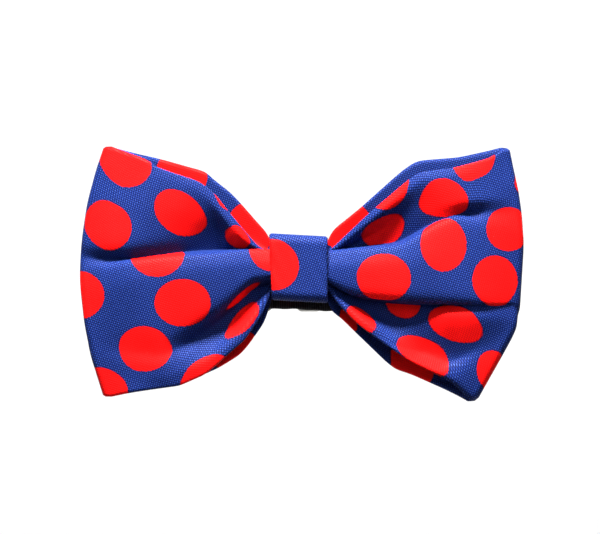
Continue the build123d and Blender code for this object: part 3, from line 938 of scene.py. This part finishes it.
def make_stitches(node, body, material):
    """A CAD node's square stitches with their edges rounded over, as thread pulled tight."""
    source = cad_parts[node]
    shape = bmesh.new()
    shape.from_mesh(source.data)
    shape.transform(source.matrix_world)
    bmesh.ops.remove_doubles(shape, verts=shape.verts, dist=0.001 * MM)
    sharp = [e for e in shape.edges if e.is_manifold and e.calc_face_angle() > SHARP_EDGE]
    bmesh.ops.bevel(
        shape, geom=sharp, offset=STITCH_ROUND * MM, segments=3, profile=0.5, affect="EDGES"
    )
    mesh = bpy.data.meshes.new(node + "_thread")
    shape.to_mesh(mesh)
    shape.free()
    mesh.polygons.foreach_set("use_smooth", [True] * len(mesh.polygons))
    mesh.materials.clear()
    mesh.materials.append(material)
    piece = bpy.data.objects.new(node + "_thread", mesh)
    bpy.context.scene.collection.objects.link(piece)
    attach(piece, body)
    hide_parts(node)


def dress(nodes, material):
    """Gives CAD nodes a material and leaves their shape alone."""
    for node in nodes:
        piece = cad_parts[node]
        for slot in piece.material_slots:
            slot.material = material


dress(("hook", "eye", "slide"), NICKEL)
dress(("knot_lining",), FELT)
dress(("waist_thread", "knot_stitches"), BLUE_THREAD)
for node, body in (("knot_tack", "bow"), ("hook_tack", "left_arm"), ("slide_tack", "slide")):
    make_stitches(node, body, BLACK_THREAD)


# --- Camera, light and backdrop --------------------------------------------------------------------

VIEW_WIDTH = 162.6
VIEW_CENTRE_X = 0.4
VIEW_CENTRE_Z = 0.3
VIEW_DISTANCE = 900.0
BOW_FRONT_Y = -13.0
SENSOR_WIDTH = 36.0
FLOOR_Z = -900.0
WALL_R = 2200.0
WALL_TOP = 3600.0


def add_light(name, place, size, power, spread=180, aim=(0, 0, 0)):
    """A soft square light that faces a point. Places are in mm."""
    data = bpy.data.lights.new(name, "AREA")
    data.size = size * MM
    data.energy = power
    data.spread = math.radians(spread)
    light = bpy.data.objects.new(name, data)
    light.location = Vector(place) * MM
    light.rotation_euler = (Vector(aim) - Vector(place)).to_track_quat("-Z", "Y").to_euler()
    light.visible_camera = False
    bpy.context.scene.collection.objects.link(light)


def make_backdrop():
    """A round pale floor that curves up into a wall, wide enough to walk round the object."""
    bend, bend_steps, turn_steps = 400, 12, 48
    profile = [(0, FLOOR_Z), (WALL_R - bend, FLOOR_Z)]
    for k in range(1, bend_steps + 1):
        turn = math.pi / 2 * k / bend_steps
        profile.append((WALL_R - bend + bend * math.sin(turn), FLOOR_Z + bend * (1 - math.cos(turn))))
    profile.append((WALL_R, WALL_TOP))
    points = []
    for m in range(turn_steps):
        turn = 2 * math.pi * m / turn_steps
        points += [(r * math.cos(turn), r * math.sin(turn), z) for r, z in profile]
    count = len(profile)
    faces = []
    for m in range(turn_steps):
        here, beyond = m * count, (m + 1) % turn_steps * count
        faces += [(here + k, beyond + k, beyond + k + 1, here + k + 1) for k in range(1, count - 1)]
        faces.append((here, beyond + 1, here + 1))
    n = Nodes("backdrop")
    mottle = n.noise(n.place(), 3.0)
    n.set(Base_Color=n.mix(mottle, (0.86, 0.86, 0.86, 1), (0.92, 0.92, 0.92, 1)), Roughness=0.9)
    backdrop = new_mesh("backdrop", points, faces, n.material)


def make_view():
    data = bpy.data.cameras.new("camera")
    data.sensor_width = SENSOR_WIDTH
    data.lens = SENSOR_WIDTH * VIEW_DISTANCE / VIEW_WIDTH
    data.clip_end = 100
    camera = bpy.data.objects.new("camera", data)
    place = (VIEW_CENTRE_X, BOW_FRONT_Y - VIEW_DISTANCE, VIEW_CENTRE_Z)
    camera.location = Vector(place) * MM
    camera.rotation_euler = (math.pi / 2, 0, 0)
    bpy.context.scene.collection.objects.link(camera)
    bpy.context.scene.camera = camera


def make_light():
    world = bpy.data.worlds.new("studio")
    world.use_nodes = True
    world.node_tree.nodes["Background"].inputs[0].default_value = (0.95, 0.97, 1.0, 1)
    world.node_tree.nodes["Background"].inputs[1].default_value = 0.02
    bpy.context.scene.world = world
    bpy.context.scene.view_settings.view_transform = "Standard"
    add_light("key", (-40, -300, 640), 170, 3.7, spread=60)
    add_light("front", (60, -900, 400), 420, 0.32, spread=60)
    add_light("back", (200, 600, 420), 400, 1.2)
    add_light("wall", (0, 900, 1500), 1400, 26.0, spread=120, aim=(0, WALL_R, 0))
    add_light("near_wall", (0, -1200, 1600), 1000, 0.6, spread=120, aim=(0, -WALL_R, -300))


make_backdrop()
make_view()
make_light()
